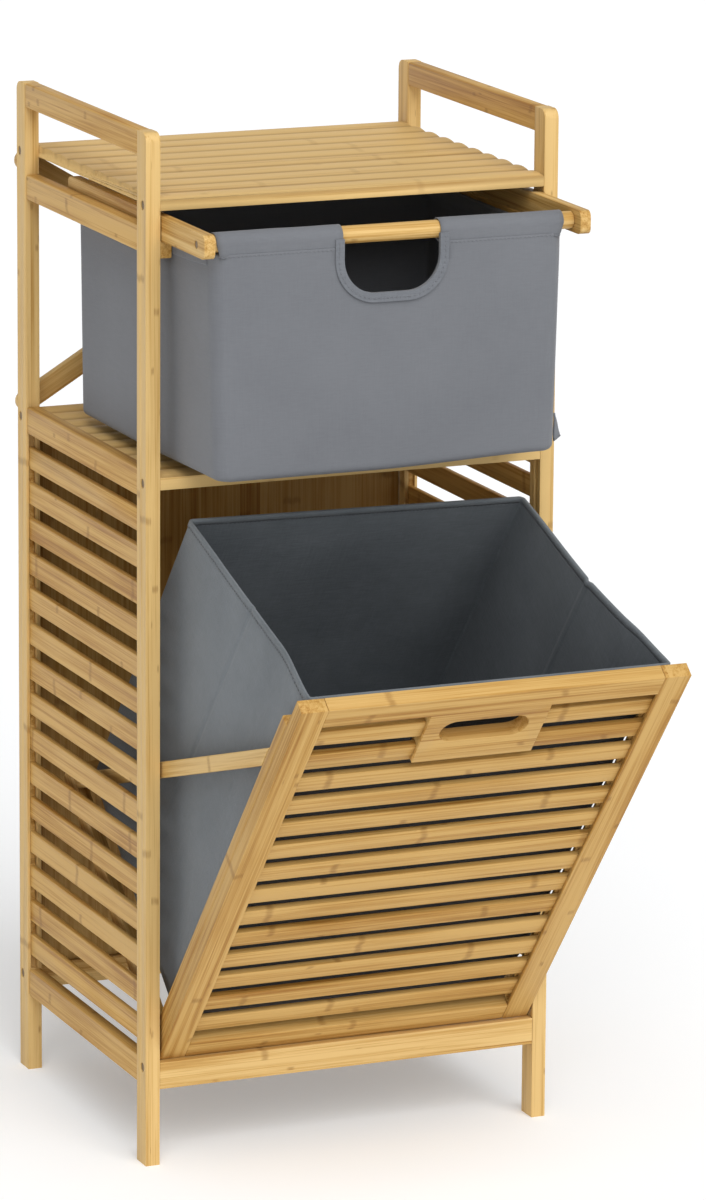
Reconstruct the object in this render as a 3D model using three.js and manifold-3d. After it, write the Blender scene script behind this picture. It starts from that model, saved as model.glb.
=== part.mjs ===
// Bamboo laundry cabinet: a tilt-out hamper below, a pull-out fabric drawer above and a shelf on top.
// Millimetres, +X to the right, +Y to the back, +Z up. The drawer stands part open and the hamper open.
import * as THREE from 'three';
import { mergeVertices } from 'three/addons/utils/BufferGeometryUtils.js';
import Module from 'manifold-3d';

const wasm = await Module();
wasm.setup();

// ---- Driving dimensions ----
const gap = 0.3; // clearance left between pieces that touch
const width = 400; // over the side frames
const depth = 334; // over the posts

// Side frames
const post = { thick: 13.6, deep: 22.5, cornerRadius: 9 };
const railRecess = 0.8; // side rails set in from the posts' outer faces
const handleRailHeight = 22.5;
const upperRailHeight = 23.5;
const midRailHeight = 25.5;
const sideBottomRailHeight = 26;
const sideSlat = { height: 20.5, thick: 6, spacing: 13.4, recess: 3 };
const groove = { deep: 6, tenon: 5.5, spacer: 2.5 };

// Heights, stacked from the floor
const footHeight = 72; // floor to the front bottom rail
const frontRail = { height: 25, deep: 18 };
const sideRailRise = 2; // side bottom rail above the front one
const midShelfThick = 13.5;
const midRailRise = 3.5; // mid side rail above the mid shelf
const drawerOpening = 239.3; // mid shelf to top shelf
const upperRailDrop = 15.5; // upper side rail below the top shelf
const topShelfThick = 11.5;
const handleRise = 58.5; // top shelf to the top of the side frames

// Shelves: boards of crowned strips glued edge to edge
const strip = { pitch: 33.4, crown: 2.2 };

// Back
const rearRail = { height: 23, deep: 14 };
const backPanel = { thick: 4.7, inset: 5 };
const braceBar = { wide: 19, thick: 9, endInset: 10, topDrop: 7, bottomRise: 3.5 };

// Frame bolts and drawer screws
const bolt = { headRadius: 4.2, headHeight: 5, sunk: 0.8, shankRadius: 3, length: 54, railRise: 20 };
const screw = { headRadius: 3.5, headHeight: 2, sunk: 0.4, shankRadius: 2, length: 30 };
const boltFacets = 16;
const pinFacets = 24;

// Drawer
const drawerPull = 92; // how far the drawer stands out
const runner = {
  length: 340, thick: 10, height: 21.5, sideGap: 1.2, shelfGap: 5.5, frontOverhang: 11, endRadius: 6,
};
const guide = { thick: 11.6, height: 16, frontInset: 2, rearInset: 17 };
const dowelRadius = 8;
const dowelFacets = 24;
const dowelInset = { front: 20, rear: 12, top: 10.8 };
const drawerBag = {
  wall: 2, guideGap: 2.5, bulge: 5.5, shoulder: 22, shoulderDrop: 3, floorGap: 8.5, foot: 3, sleeveInset: 5,
};
const cutOut = { wide: 92, drop: 55, cornerRadius: 24 };

// Hamper door
const tilt = THREE.MathUtils.degToRad(39.5); // how far the hamper stands open
const doorLength = 526;
const doorSideGap = 2.4;
const doorTopGap = 3.5;
const doorThick = 14;
const stileWide = 25;
const doorTopRailHeight = 23.5;
const doorBottomRailHeight = 22;
const doorSlat = { height: 20.5, thick: 6, spacing: 13.1, recess: 4 };
const handleBlock = { wide: 114, slotWide: 84, slotHeight: 28, slotBelowTop: 35, slatsBeside: 2 };
const pivot = { behind: 9, above: 10, pinRadius: 3, clearance: 0.1, inPost: 8, inStile: 12 };

// Hamper frame and bag
const sideBar = { wide: 12, thick: 12, topDrop: 36 };
const bottomBar = { height: 22, rearGap: 12 };
const hamperBrace = { wide: 14.8, topDrop: 84, footInset: 13 };
const crossBar = { thick: 11.4, height: 20, rearThick: 18 };
const hamperBag = { wall: 2.5, sideGap: 7, rise: 2.5, rearDrop: 130, rearInset: 16, lean: 12 };

// ---- Levels and faces worked out from them ----
const halfWidth = width / 2;
const front = -depth / 2;
const rear = depth / 2;
const postInnerX = halfWidth - post.thick;
const postInnerY = rear - post.deep;
const frontRailTop = footHeight + frontRail.height;
const doorLift = pivot.behind * Math.sin(tilt) - pivot.above * (1 - Math.cos(tilt));
const doorBottom = frontRailTop + gap + doorLift; // closed door's lower edge
const midShelfBottom = doorBottom + doorLength + doorTopGap;
const midShelfTop = midShelfBottom + midShelfThick;
const topShelfBottom = midShelfTop + drawerOpening;
const topShelfTop = topShelfBottom + topShelfThick;
const height = topShelfTop + handleRise;
const sideBottomRailBottom = footHeight + sideRailRise;
const sideBottomRailTop = sideBottomRailBottom + sideBottomRailHeight;
const midRailTop = midShelfTop + midRailRise;
const midRailBottom = midRailTop - midRailHeight;
const upperRailTop = topShelfBottom - upperRailDrop;
const upperRailBottom = upperRailTop - upperRailHeight;
const handleRailBottom = height - handleRailHeight;
const rearRailTop = doorBottom - gap;
const shelfHalfLength = postInnerX - gap;

const group = new THREE.Group();

// ---- Materials ----
const bamboo = new THREE.MeshStandardMaterial({ color: 0xd3a868, roughness: 0.55, metalness: 0 });
const shadedBamboo = new THREE.MeshStandardMaterial({ color: 0xb98d52, roughness: 0.6, metalness: 0 });
const drawerFabric = new THREE.MeshStandardMaterial({ color: 0x7e8084, roughness: 0.9, metalness: 0 });
const hamperFabric = new THREE.MeshStandardMaterial({ color: 0x6a7074, roughness: 0.9, metalness: 0 });
const steel = new THREE.MeshStandardMaterial({ color: 0x8a8478, roughness: 0.4, metalness: 0.9 });

// ---- Shape helpers ----
function addMesh(parent, name, geometry, material) {
  const mesh = new THREE.Mesh(geometry, material);
  mesh.name = name;
  parent.add(mesh);
  return mesh;
}

function boxBetween(x, y, z) {
  const geometry = new THREE.BoxGeometry(x[1] - x[0], y[1] - y[0], z[1] - z[0]);
  return geometry.translate((x[0] + x[1]) / 2, (y[0] + y[1]) / 2, (z[0] + z[1]) / 2);
}

function outline(points) {
  return new THREE.Shape(points.map(([a, b]) => new THREE.Vector2(a, b)));
}

function rectangle(a, b) {
  return outline([[a[0], b[0]], [a[1], b[0]], [a[1], b[1]], [a[0], b[1]]]);
}

function extrude(shape, length) {
  return new THREE.ExtrudeGeometry(shape, { depth: length, bevelEnabled: false, curveSegments: 6 });
}

const alongX = new THREE.Matrix4().makeBasis(
  new THREE.Vector3(0, 1, 0), new THREE.Vector3(0, 0, 1), new THREE.Vector3(1, 0, 0));
const alongY = new THREE.Matrix4().makeBasis(
  new THREE.Vector3(1, 0, 0), new THREE.Vector3(0, 0, 1), new THREE.Vector3(0, -1, 0));

// An outline drawn in Y and Z, swept from x[0] to x[1]
function sweepX(shape, x) {
  return extrude(shape, x[1] - x[0]).applyMatrix4(alongX).translate(x[0], 0, 0);
}

// An outline drawn in X and Z, swept from y[0] to y[1]
function sweepY(shape, y) {
  return extrude(shape, y[1] - y[0]).applyMatrix4(alongY).translate(0, y[1], 0);
}

// A round bar along X
function roundX(radius, x, y, z, facets) {
  const geometry = new THREE.CylinderGeometry(radius, radius, x[1] - x[0], facets);
  return geometry.rotateZ(Math.PI / 2).translate((x[0] + x[1]) / 2, y, z);
}

function toSolid(geometry) {
  const bare = geometry.clone();
  bare.deleteAttribute('normal');
  bare.deleteAttribute('uv');
  const merged = mergeVertices(bare, 1e-4);
  return new wasm.Manifold(new wasm.Mesh({
    numProp: 3,
    vertProperties: new Float32Array(merged.attributes.position.array),
    triVerts: new Uint32Array(merged.index.array),
  }));
}

function toGeometry(solid) {
  const mesh = solid.getMesh();
  const geometry = new THREE.BufferGeometry();
  geometry.setAttribute('position', new THREE.BufferAttribute(mesh.vertProperties, 3));
  geometry.setIndex(new THREE.BufferAttribute(mesh.triVerts, 1));
  geometry.computeVertexNormals();
  return geometry;
}

function cut(geometry, cutters) {
  return toGeometry(cutters.reduce((solid, cutter) => solid.subtract(toSolid(cutter)), toSolid(geometry)));
}

function mirrorX(geometry) {
  const mirrored = geometry.index ? geometry.toNonIndexed() : geometry.clone();
  const position = mirrored.attributes.position;
  for (let corner = 0; corner < position.count; corner += 3) {
    const points = [0, 2, 1].map((k) => new THREE.Vector3().fromBufferAttribute(position, corner + k));
    points.forEach((p, k) => position.setXYZ(corner + k, -p.x, p.y, p.z));
  }
  mirrored.computeVertexNormals();
  return mirrored;
}

// The same piece on the left, as modelled, and mirrored on the right
function addPair(parent, name, geometry, material) {
  addMesh(parent, `left_${name}`, geometry, material);
  addMesh(parent, `right_${name}`, mirrorX(geometry), material);
}

// A headed fastener along X whose head faces -X: the solid, and the holes that clear it
function fastener(size, outerX, y, z) {
  const head = outerX + size.sunk;
  const neck = head + size.headHeight;
  const tip = head + size.length;
  const profile = [[0, head], [size.headRadius, head], [size.headRadius, neck],
    [size.shankRadius, neck], [size.shankRadius, tip], [0, tip]];
  const points = profile.map(([r, x]) => new THREE.Vector2(r, x));
  const body = new THREE.LatheGeometry(points, boltFacets).rotateZ(-Math.PI / 2).translate(0, y, z);
  const holes = [
    roundX(size.headRadius + gap, [outerX - 1, neck + gap], y, z, boltFacets),
    roundX(size.shankRadius + gap, [neck, tip + gap], y, z, boltFacets),
  ];
  return { body, holes };
}

// ---- Frame bolts: one through each post at both shelves and at the bottom rails ----
const boltY = { front: front + frontRail.deep / 2, rear: rear - rearRail.deep / 2 };
const boltLevels = {
  top: topShelfBottom + (topShelfThick - strip.crown) / 2,
  mid: midShelfBottom + (midShelfThick - strip.crown) / 2,
  bottom: footHeight + bolt.railRise,
};
const bolts = {};
for (const [end, y] of Object.entries(boltY)) {
  for (const [level, z] of Object.entries(boltLevels)) {
    bolts[`${end}_${level}_bolt`] = fastener(bolt, -halfWidth, y, z);
  }
}
const holesAt = (end, level) => bolts[`${end}_${level}_bolt`].holes;
const holesOf = (end) => Object.keys(boltLevels).flatMap((level) => holesAt(end, level));
const bothSides = (cutters) => [...cutters, ...cutters.map(mirrorX)];
for (const [name, { body }] of Object.entries(bolts)) {
  addPair(group, name, body, steel);
}

// ---- Posts, with a round-ended groove for the side slats ----
const slatX = [-halfWidth + sideSlat.recess, -halfWidth + sideSlat.recess + sideSlat.thick];
const pivotY = front + pivot.behind;
const pivotZ = doorBottom + pivot.above;
const pinX = [-postInnerX - pivot.inPost, -postInnerX + doorSideGap + pivot.inStile];

function postOutline() {
  const shape = new THREE.Shape();
  shape.moveTo(front, 0);
  shape.lineTo(-postInnerY, 0);
  shape.lineTo(-postInnerY, height);
  shape.lineTo(front + post.cornerRadius, height);
  shape.absarc(front + post.cornerRadius, height - post.cornerRadius, post.cornerRadius, Math.PI / 2, Math.PI);
  shape.lineTo(front, 0);
  return shape;
}

function slatGroove() {
  const radius = sideSlat.thick / 2 + gap;
  const centre = (slatX[0] + slatX[1]) / 2;
  const ends = [sideBottomRailTop, midRailBottom - radius];
  const shape = new THREE.Shape();
  shape.moveTo(centre - radius, ends[0]);
  shape.lineTo(centre + radius, ends[0]);
  shape.lineTo(centre + radius, ends[1]);
  shape.absarc(centre, ends[1], radius, 0, Math.PI);
  return sweepY(shape, [-postInnerY - groove.deep, -postInnerY + 1]);
}

const mirrorY = (geometry) => mirrorX(geometry.clone().rotateZ(Math.PI));
const postBlank = sweepX(postOutline(), [-halfWidth, -postInnerX]);
const pinHoleRadius = pivot.pinRadius + pivot.clearance;
const pinHole = roundX(pinHoleRadius, [pinX[0] - gap, -postInnerX + 1], pivotY, pivotZ, pinFacets);
addPair(group, 'front_post', cut(postBlank, [slatGroove(), pinHole, ...holesOf('front')]), bamboo);
addPair(group, 'rear_post', cut(mirrorY(postBlank), [mirrorY(slatGroove()), ...holesOf('rear')]), bamboo);

// ---- Rails of the side frames ----
const railX = [-halfWidth + railRecess, -postInnerX];
const railY = [-postInnerY + gap, postInnerY - gap];
const rails = {
  handle_rail: [handleRailBottom, height],
  upper_rail: [upperRailBottom, upperRailTop],
  mid_rail: [midRailBottom, midRailTop],
  bottom_rail: [sideBottomRailBottom, sideBottomRailTop - gap],
};
for (const [name, z] of Object.entries(rails)) {
  const x = name === 'handle_rail' ? [-halfWidth, -postInnerX] : railX;
  addPair(group, name, boxBetween(x, railY, z), bamboo);
}

// ---- Side slats: a ladder of slats whose ends and spacers sit in the posts' grooves ----
const slatSpace = midRailBottom - sideBottomRailTop;
const sideSlatCount = Math.round((slatSpace - sideSlat.spacing) / (sideSlat.height + sideSlat.spacing));
const sideSlatGap = (slatSpace - sideSlatCount * sideSlat.height) / (sideSlatCount + 1);
const sideSlatPitch = sideSlat.height + sideSlatGap;
const slatEndY = postInnerY + groove.tenon;

function sideLadder() {
  const bottom = sideBottomRailTop + sideSlatGap;
  const top = midRailBottom - sideSlatGap;
  const shape = rectangle([-slatEndY, slatEndY], [bottom, top]);
  const openY = slatEndY - groove.spacer;
  for (let slat = 1; slat < sideSlatCount; slat += 1) {
    const opening = bottom + slat * sideSlatPitch - sideSlatGap;
    shape.holes.push(rectangle([-openY, openY], [opening, opening + sideSlatGap]));
  }
  return sweepX(shape, slatX);
}
addPair(group, 'side_slats', sideLadder(), bamboo);

// ---- Shelves ----
function shelfOutline(bottom, thick) {
  const strips = Math.max(1, Math.round(depth / strip.pitch));
  const pitch = depth / strips;
  const steps = 6;
  const points = [[rear, bottom]];
  for (let index = strips; index > 0; index -= 1) {
    for (let step = index === strips ? 0 : 1; step <= steps; step += 1) {
      const across = 1 - (2 * step) / steps;
      points.push([front + pitch * (index - step / steps), bottom + thick - strip.crown * across * across]);
    }
  }
  points.push([front, bottom]);
  return outline(points.reverse());
}

const shelfX = [-shelfHalfLength, shelfHalfLength];
for (const [level, bottom, thick] of [['top', topShelfBottom, topShelfThick], ['mid', midShelfBottom, midShelfThick]]) {
  const board = sweepX(shelfOutline(bottom, thick), shelfX);
  const holes = bothSides([...holesAt('front', level), ...holesAt('rear', level)]);
  addMesh(group, `${level}_shelf`, cut(board, holes), bamboo);
}

// ---- Front and rear bottom rails, back panel ----
const frontRailBox = boxBetween(shelfX, [front, front + frontRail.deep], [footHeight, frontRailTop]);
const rearRailBox = boxBetween(shelfX, [rear - rearRail.deep, rear], [rearRailTop - rearRail.height, rearRailTop]);
addMesh(group, 'front_bottom_rail', cut(frontRailBox, bothSides(holesAt('front', 'bottom'))), bamboo);
addMesh(group, 'rear_bottom_rail', cut(rearRailBox, bothSides(holesAt('rear', 'bottom'))), bamboo);
const panelY = [rear - backPanel.inset - backPanel.thick, rear - backPanel.inset];
addMesh(group, 'back_panel', boxBetween(shelfX, panelY, [rearRailTop + gap, midShelfBottom - gap]), shadedBamboo);

// ---- X brace: two round-ended bars on the rear posts, halved together where they cross ----
const braceRise = (topShelfBottom - braceBar.topDrop) - (midShelfTop + braceBar.bottomRise);
const braceSpan = 2 * (halfWidth - braceBar.endInset);
const braceAngle = Math.atan2(braceRise, braceSpan);
const braceLength = Math.hypot(braceRise, braceSpan);
const braceCentreZ = midShelfTop + braceBar.bottomRise + braceRise / 2;
const braceY = [rear + gap, rear + gap + braceBar.thick];

function braceOutline(wide) {
  const radius = wide / 2;
  const shape = new THREE.Shape();
  shape.absarc(braceLength / 2, 0, radius, -Math.PI / 2, Math.PI / 2);
  shape.absarc(-braceLength / 2, 0, radius, Math.PI / 2, 1.5 * Math.PI);
  return shape;
}

function braceAt(direction, wide, y) {
  return sweepY(braceOutline(wide), y).rotateY(-direction * braceAngle).translate(0, 0, braceCentreZ);
}
const halving = (braceY[0] + braceY[1]) / 2;
const rearHalf = [halving - gap / 2, braceY[1] + 1];
const frontHalf = [braceY[0] - 1, halving + gap / 2];
const crossingWide = braceBar.wide + 2 * gap;
addMesh(group, 'rising_brace_bar',
  cut(braceAt(1, braceBar.wide, braceY), [braceAt(-1, crossingWide, rearHalf)]), bamboo);
addMesh(group, 'falling_brace_bar',
  cut(braceAt(-1, braceBar.wide, braceY), [braceAt(1, crossingWide, frontHalf)]), bamboo);

// ---- Drawer guides, inside the upper side rails ----
const runnerX = [-postInnerX + runner.sideGap, -postInnerX + runner.sideGap + runner.thick];
const runnerBottom = topShelfBottom - runner.shelfGap - runner.height;
const guideX = [-postInnerX + gap, -postInnerX + gap + guide.thick];
const guideZ = [runnerBottom - gap - guide.height, runnerBottom - gap];
addPair(group, 'drawer_guide', boxBetween(guideX, [front + guide.frontInset, rear - guide.rearInset], guideZ), bamboo);

// ---- Drawer, drawn closed and then pulled out ----
const drawer = new THREE.Group();
drawer.position.y = -drawerPull;
group.add(drawer);
const runnerFront = front - runner.frontOverhang;
const runnerRear = runnerFront + runner.length;
const dowelZ = runnerBottom + dowelInset.top;
const dowelY = { front: runnerFront + dowelInset.front, rear: runnerRear - dowelInset.rear };

function runnerOutline() {
  const top = runnerBottom + runner.height;
  const r = runner.endRadius;
  const shape = new THREE.Shape();
  shape.absarc(runnerFront + r, runnerBottom + r, r, Math.PI, 1.5 * Math.PI);
  shape.absarc(runnerRear - r, runnerBottom + r, r, -Math.PI / 2, 0);
  shape.absarc(runnerRear - r, top - r, r, 0, Math.PI / 2);
  shape.absarc(runnerFront + r, top - r, r, Math.PI / 2, Math.PI);
  return shape;
}
const runnerScrew = fastener(screw, runnerX[0], dowelY.front, dowelZ);
addPair(drawer, 'runner', cut(sweepX(runnerOutline(), runnerX), runnerScrew.holes), bamboo);
addPair(drawer, 'runner_screw', runnerScrew.body, steel);
const dowelX = [runnerX[1] + gap, -runnerX[1] - gap];
const dowelAt = (end) => roundX(dowelRadius, dowelX, dowelY[end], dowelZ, dowelFacets);
addMesh(drawer, 'front_dowel', cut(dowelAt('front'), bothSides(runnerScrew.holes)), bamboo);
addMesh(drawer, 'rear_dowel', dowelAt('rear'), bamboo);

// ---- Drawer bag: an open fabric box whose front and back hang in sleeves round the dowels ----
const sleeveRadius = dowelRadius + gap + drawerBag.wall;
const bagFrontY = dowelY.front - sleeveRadius;
const bagRearY = dowelY.rear + sleeveRadius;
const bagTopX = -guideX[1] - drawerBag.guideGap;
const bagBottom = midShelfTop + drawerBag.floorGap;
const bagShoulder = guideZ[0] - drawerBag.shoulderDrop;

function bagSection(inset) {
  const top = dowelZ + (inset ? 4 * dowelRadius : 0);
  const side = bagTopX - inset;
  const belly = bagTopX + drawerBag.bulge - inset;
  const foot = belly - drawerBag.foot;
  const floor = bagBottom + inset;
  return outline([[-foot, floor], [foot, floor], [belly, bagShoulder - drawerBag.shoulder], [side, bagShoulder],
    [side, top], [-side, top], [-side, bagShoulder], [-belly, bagShoulder - drawerBag.shoulder]]);
}

function cutOutShape() {
  const half = cutOut.wide / 2;
  const r = cutOut.cornerRadius;
  const low = dowelZ - cutOut.drop;
  const shape = new THREE.Shape();
  shape.moveTo(half, dowelZ + 2 * dowelRadius);
  shape.lineTo(-half, dowelZ + 2 * dowelRadius);
  shape.absarc(-half + r, low + r, r, Math.PI, 1.5 * Math.PI);
  shape.absarc(half - r, low + r, r, -Math.PI / 2, 0);
  return shape;
}

function fabricDrawer() {
  const sleeveEnd = bagTopX - drawerBag.sleeveInset;
  const roundDowels = (radius, half) => Object.values(dowelY).map(
    (y) => toSolid(roundX(radius, [-half, half], y, dowelZ, dowelFacets)));
  const sleeves = roundDowels(sleeveRadius, sleeveEnd);
  const bores = roundDowels(dowelRadius + gap, halfWidth);
  const corners = [1, -1].map((side) => boxBetween(
    side > 0 ? [sleeveEnd, halfWidth] : [-halfWidth, -sleeveEnd], [bagFrontY - 1, bagRearY + 1],
    [dowelZ - sleeveRadius - drawerBag.wall, dowelZ + 2 * sleeveRadius]));
  const outer = toSolid(sweepY(bagSection(0), [bagFrontY, bagRearY]));
  const inner = toSolid(sweepY(bagSection(drawerBag.wall), [bagFrontY + drawerBag.wall, bagRearY - drawerBag.wall]));
  const hollow = outer.subtract(inner).subtract(toSolid(corners[0])).subtract(toSolid(corners[1]));
  const sleeved = hollow.add(sleeves[0]).add(sleeves[1]);
  const bored = sleeved.subtract(bores[0]).subtract(bores[1]);
  return toGeometry(bored.subtract(toSolid(sweepY(cutOutShape(), [bagFrontY - 1, bagFrontY + 4 * dowelRadius]))));
}
addMesh(drawer, 'drawer_bag', fabricDrawer(), drawerFabric);

// ---- Hamper: Y is measured back from the door's face and Z up from its lower edge, then tilted ----
const hamperTilt = new THREE.Group();
hamperTilt.position.set(0, pivotY, pivotZ);
hamperTilt.rotation.x = tilt;
group.add(hamperTilt);
const hamper = new THREE.Group();
hamper.position.set(0, -pivot.behind, -pivot.above);
hamperTilt.add(hamper);

addPair(group, 'hinge_pin', roundX(pivot.pinRadius, pinX, pivotY, pivotZ, pinFacets), steel);

// Door stiles, grooved for the slats
const doorX = postInnerX - doorSideGap;
const stileX = [-doorX, -doorX + stileWide];
const doorSlatY = [doorSlat.recess, doorSlat.recess + doorSlat.thick];
const stilePinHole = roundX(pinHoleRadius, [-doorX - 1, -doorX + pivot.inStile + gap],
  pivot.behind, pivot.above, pinFacets);
const stileGroove = boxBetween([stileX[1] - groove.deep, stileX[1] + 1],
  [doorSlatY[0] - gap, doorSlatY[1] + gap], [doorBottomRailHeight, doorLength - doorTopRailHeight]);
addPair(hamper, 'door_stile',
  cut(boxBetween(stileX, [0, doorThick], [0, doorLength]), [stilePinHole, stileGroove]), bamboo);

// Door slats and the handle block between the uppermost ones
const doorRailX = -stileX[1] - gap;
const doorSlatSpace = doorLength - doorTopRailHeight - doorBottomRailHeight;
const doorSlatCount = Math.round((doorSlatSpace - doorSlat.spacing) / (doorSlat.height + doorSlat.spacing));
const doorSlatGap = (doorSlatSpace - doorSlatCount * doorSlat.height) / (doorSlatCount + 1);
const doorSlatPitch = doorSlat.height + doorSlatGap;
const slatFoot = (slat) => doorBottomRailHeight + doorSlatGap + slat * doorSlatPitch;
const blockBottom = slatFoot(doorSlatCount - handleBlock.slatsBeside);
const blockHalf = handleBlock.wide / 2;

function doorLadder() {
  const end = -stileX[1] + groove.tenon;
  const open = end - groove.spacer;
  const inner = blockHalf - groove.tenon;
  const top = slatFoot(doorSlatCount - 1) + doorSlat.height;
  const beside = [slatFoot(doorSlatCount - handleBlock.slatsBeside), blockBottom - doorSlatGap];
  const shape = outline([[-end, slatFoot(0)], [end, slatFoot(0)], [end, top], [inner, top], [inner, beside[0]],
    [open, beside[0]], [open, beside[1]], [-open, beside[1]], [-open, beside[0]], [-inner, beside[0]],
    [-inner, top], [-end, top]]);
  for (let slat = 1; slat < doorSlatCount - handleBlock.slatsBeside; slat += 1) {
    shape.holes.push(rectangle([-open, open], [slatFoot(slat) - doorSlatGap, slatFoot(slat)]));
  }
  const sideGaps = [];
  for (let slat = doorSlatCount - handleBlock.slatsBeside + 1; slat < doorSlatCount; slat += 1) {
    const z = [slatFoot(slat) - doorSlatGap, slatFoot(slat)];
    sideGaps.push(boxBetween([inner - 1, open], [0, doorThick], z));
    sideGaps.push(boxBetween([-open, 1 - inner], [0, doorThick], z));
  }
  return cut(sweepY(shape, doorSlatY), sideGaps);
}
addMesh(hamper, 'door_slats', doorLadder(), bamboo);

function doorTopRail() {
  const low = doorLength - doorTopRailHeight;
  const shape = outline([[-doorRailX, low], [-blockHalf, low], [-blockHalf, blockBottom], [blockHalf, blockBottom],
    [blockHalf, low], [doorRailX, low], [doorRailX, doorLength], [-doorRailX, doorLength]]);
  const r = handleBlock.slotHeight / 2;
  const reach = handleBlock.slotWide / 2 - r;
  const slotZ = doorLength - handleBlock.slotBelowTop - r;
  const slot = new THREE.Path();
  slot.absarc(reach, slotZ, r, -Math.PI / 2, Math.PI / 2);
  slot.absarc(-reach, slotZ, r, Math.PI / 2, 1.5 * Math.PI);
  shape.holes.push(slot);
  const pockets = [];
  for (let slat = doorSlatCount - handleBlock.slatsBeside; slat < doorSlatCount; slat += 1) {
    const z = [slatFoot(slat) - gap, slatFoot(slat) + doorSlat.height + gap];
    pockets.push(boxBetween([-blockHalf - 1, -blockHalf + groove.deep], [doorSlatY[0] - gap, doorSlatY[1] + gap], z));
  }
  return cut(sweepY(shape, [0, doorThick]), bothSides(pockets));
}
addMesh(hamper, 'door_top_rail', doorTopRail(), bamboo);
addMesh(hamper, 'door_bottom_rail',
  boxBetween([-doorRailX, doorRailX], [0, doorThick], [0, doorBottomRailHeight]), bamboo);

// Side frames behind the door: an upright bar, a bottom bar and a diagonal brace
const barX = [-doorX, -doorX + sideBar.thick];
const barY = [doorThick + gap, doorThick + gap + sideBar.wide];
addPair(hamper, 'hamper_side_bar', boxBetween(barX, barY, [0, doorLength - sideBar.topDrop]), bamboo);
const bottomBarRear = depth - bottomBar.rearGap;
const bottomBarY = [barY[1] + gap, bottomBarRear];
addPair(hamper, 'hamper_bottom_bar', boxBetween(barX, bottomBarY, [0, bottomBar.height]), bamboo);

function hamperBraceOutline() {
  const head = [barY[1] + gap, doorLength - hamperBrace.topDrop];
  const foot = [bottomBarRear - hamperBrace.footInset, bottomBar.height + gap];
  const run = foot[0] - head[0];
  const drop = head[1] - foot[1];
  const alongBar = hamperBrace.wide * Math.hypot(run, drop) / run;
  const alongFoot = hamperBrace.wide * Math.hypot(run, drop) / drop;
  return outline([head, [head[0], head[1] - alongBar], [foot[0] - alongFoot, foot[1]], foot]);
}
addPair(hamper, 'hamper_brace', sweepX(hamperBraceOutline(), barX), bamboo);

// Cross bars between the side frames
const crossX = [barX[1] + gap, -barX[1] - gap];
const topBarZ = [doorLength - sideBar.topDrop - crossBar.height, doorLength - sideBar.topDrop];
const frontBarY = [barY[0] + gap, barY[0] + gap + crossBar.thick];
const lowBarZ = [bottomBar.height - crossBar.height, bottomBar.height];
const rearBarY = [bottomBarRear - crossBar.rearThick, bottomBarRear];
addMesh(hamper, 'hamper_top_cross_bar', boxBetween(crossX, frontBarY, topBarZ), bamboo);
addMesh(hamper, 'hamper_front_cross_bar', boxBetween(crossX, frontBarY, lowBarZ), bamboo);
addMesh(hamper, 'hamper_rear_cross_bar', boxBetween(crossX, rearBarY, lowBarZ), bamboo);

// ---- Hamper bag: an open fabric box whose rim slopes down to the back ----
function hamperBagOutline(inset) {
  const lip = inset ? 60 : 0;
  const face = frontBarY[1] + gap + 1 + inset;
  const rimFront = face - hamperBag.lean;
  const back = bottomBarRear - hamperBag.rearInset - inset;
  const floor = bottomBar.height + gap + 1.5 + inset;
  const over = topBarZ[1] + gap + 1 + (inset ? hamperBag.wall : 0);
  const rimTop = doorLength + hamperBag.rise + lip;
  const backTop = doorLength - hamperBag.rearDrop + lip;
  return outline([[face, floor], [back, floor], [back, backTop], [rimFront, rimTop],
    [rimFront, over + hamperBag.lean], [face, over]]);
}

function fabricHamper() {
  const outerX = -barX[1] - hamperBag.sideGap;
  const innerX = outerX - hamperBag.wall;
  return cut(sweepX(hamperBagOutline(0), [-outerX, outerX]),
    [sweepX(hamperBagOutline(hamperBag.wall), [-innerX, innerX])]);
}
addMesh(hamper, 'hamper_bag', fabricHamper(), hamperFabric);

// ---- Origin: on the floor, under the middle of the object as it stands ----
group.updateMatrixWorld(true);
const bounds = new THREE.Box3().setFromObject(group, true);
group.position.y = -(bounds.min.y + bounds.max.y) / 2;

export default group;
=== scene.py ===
"""Bamboo laundry cabinet: a tilt-out hamper, a pull-out fabric drawer and a fluted top shelf.

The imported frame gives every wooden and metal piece. This script adds the sewn bags, the screw
heads and the finishes. Lengths are in metres: X runs right, Y back and Z up.
"""
import math

import bmesh
import bpy
from mathutils import Matrix, Vector, noise


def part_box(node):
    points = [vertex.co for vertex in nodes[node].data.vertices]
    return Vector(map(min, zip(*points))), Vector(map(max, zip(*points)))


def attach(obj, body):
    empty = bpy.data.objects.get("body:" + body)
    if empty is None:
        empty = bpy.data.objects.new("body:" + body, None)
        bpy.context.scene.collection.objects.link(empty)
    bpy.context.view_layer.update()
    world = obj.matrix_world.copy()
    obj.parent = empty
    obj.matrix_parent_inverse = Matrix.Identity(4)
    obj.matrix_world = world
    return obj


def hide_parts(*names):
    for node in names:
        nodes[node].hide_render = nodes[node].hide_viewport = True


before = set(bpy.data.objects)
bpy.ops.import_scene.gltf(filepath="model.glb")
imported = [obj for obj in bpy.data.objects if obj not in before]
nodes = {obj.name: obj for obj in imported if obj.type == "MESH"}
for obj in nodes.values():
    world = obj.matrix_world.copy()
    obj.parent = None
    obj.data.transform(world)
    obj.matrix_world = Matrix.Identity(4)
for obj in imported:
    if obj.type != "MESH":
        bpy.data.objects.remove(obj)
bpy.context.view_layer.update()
MM = 0.001


def middle(name):
    low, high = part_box(name)
    return (low + high) / 2


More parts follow.
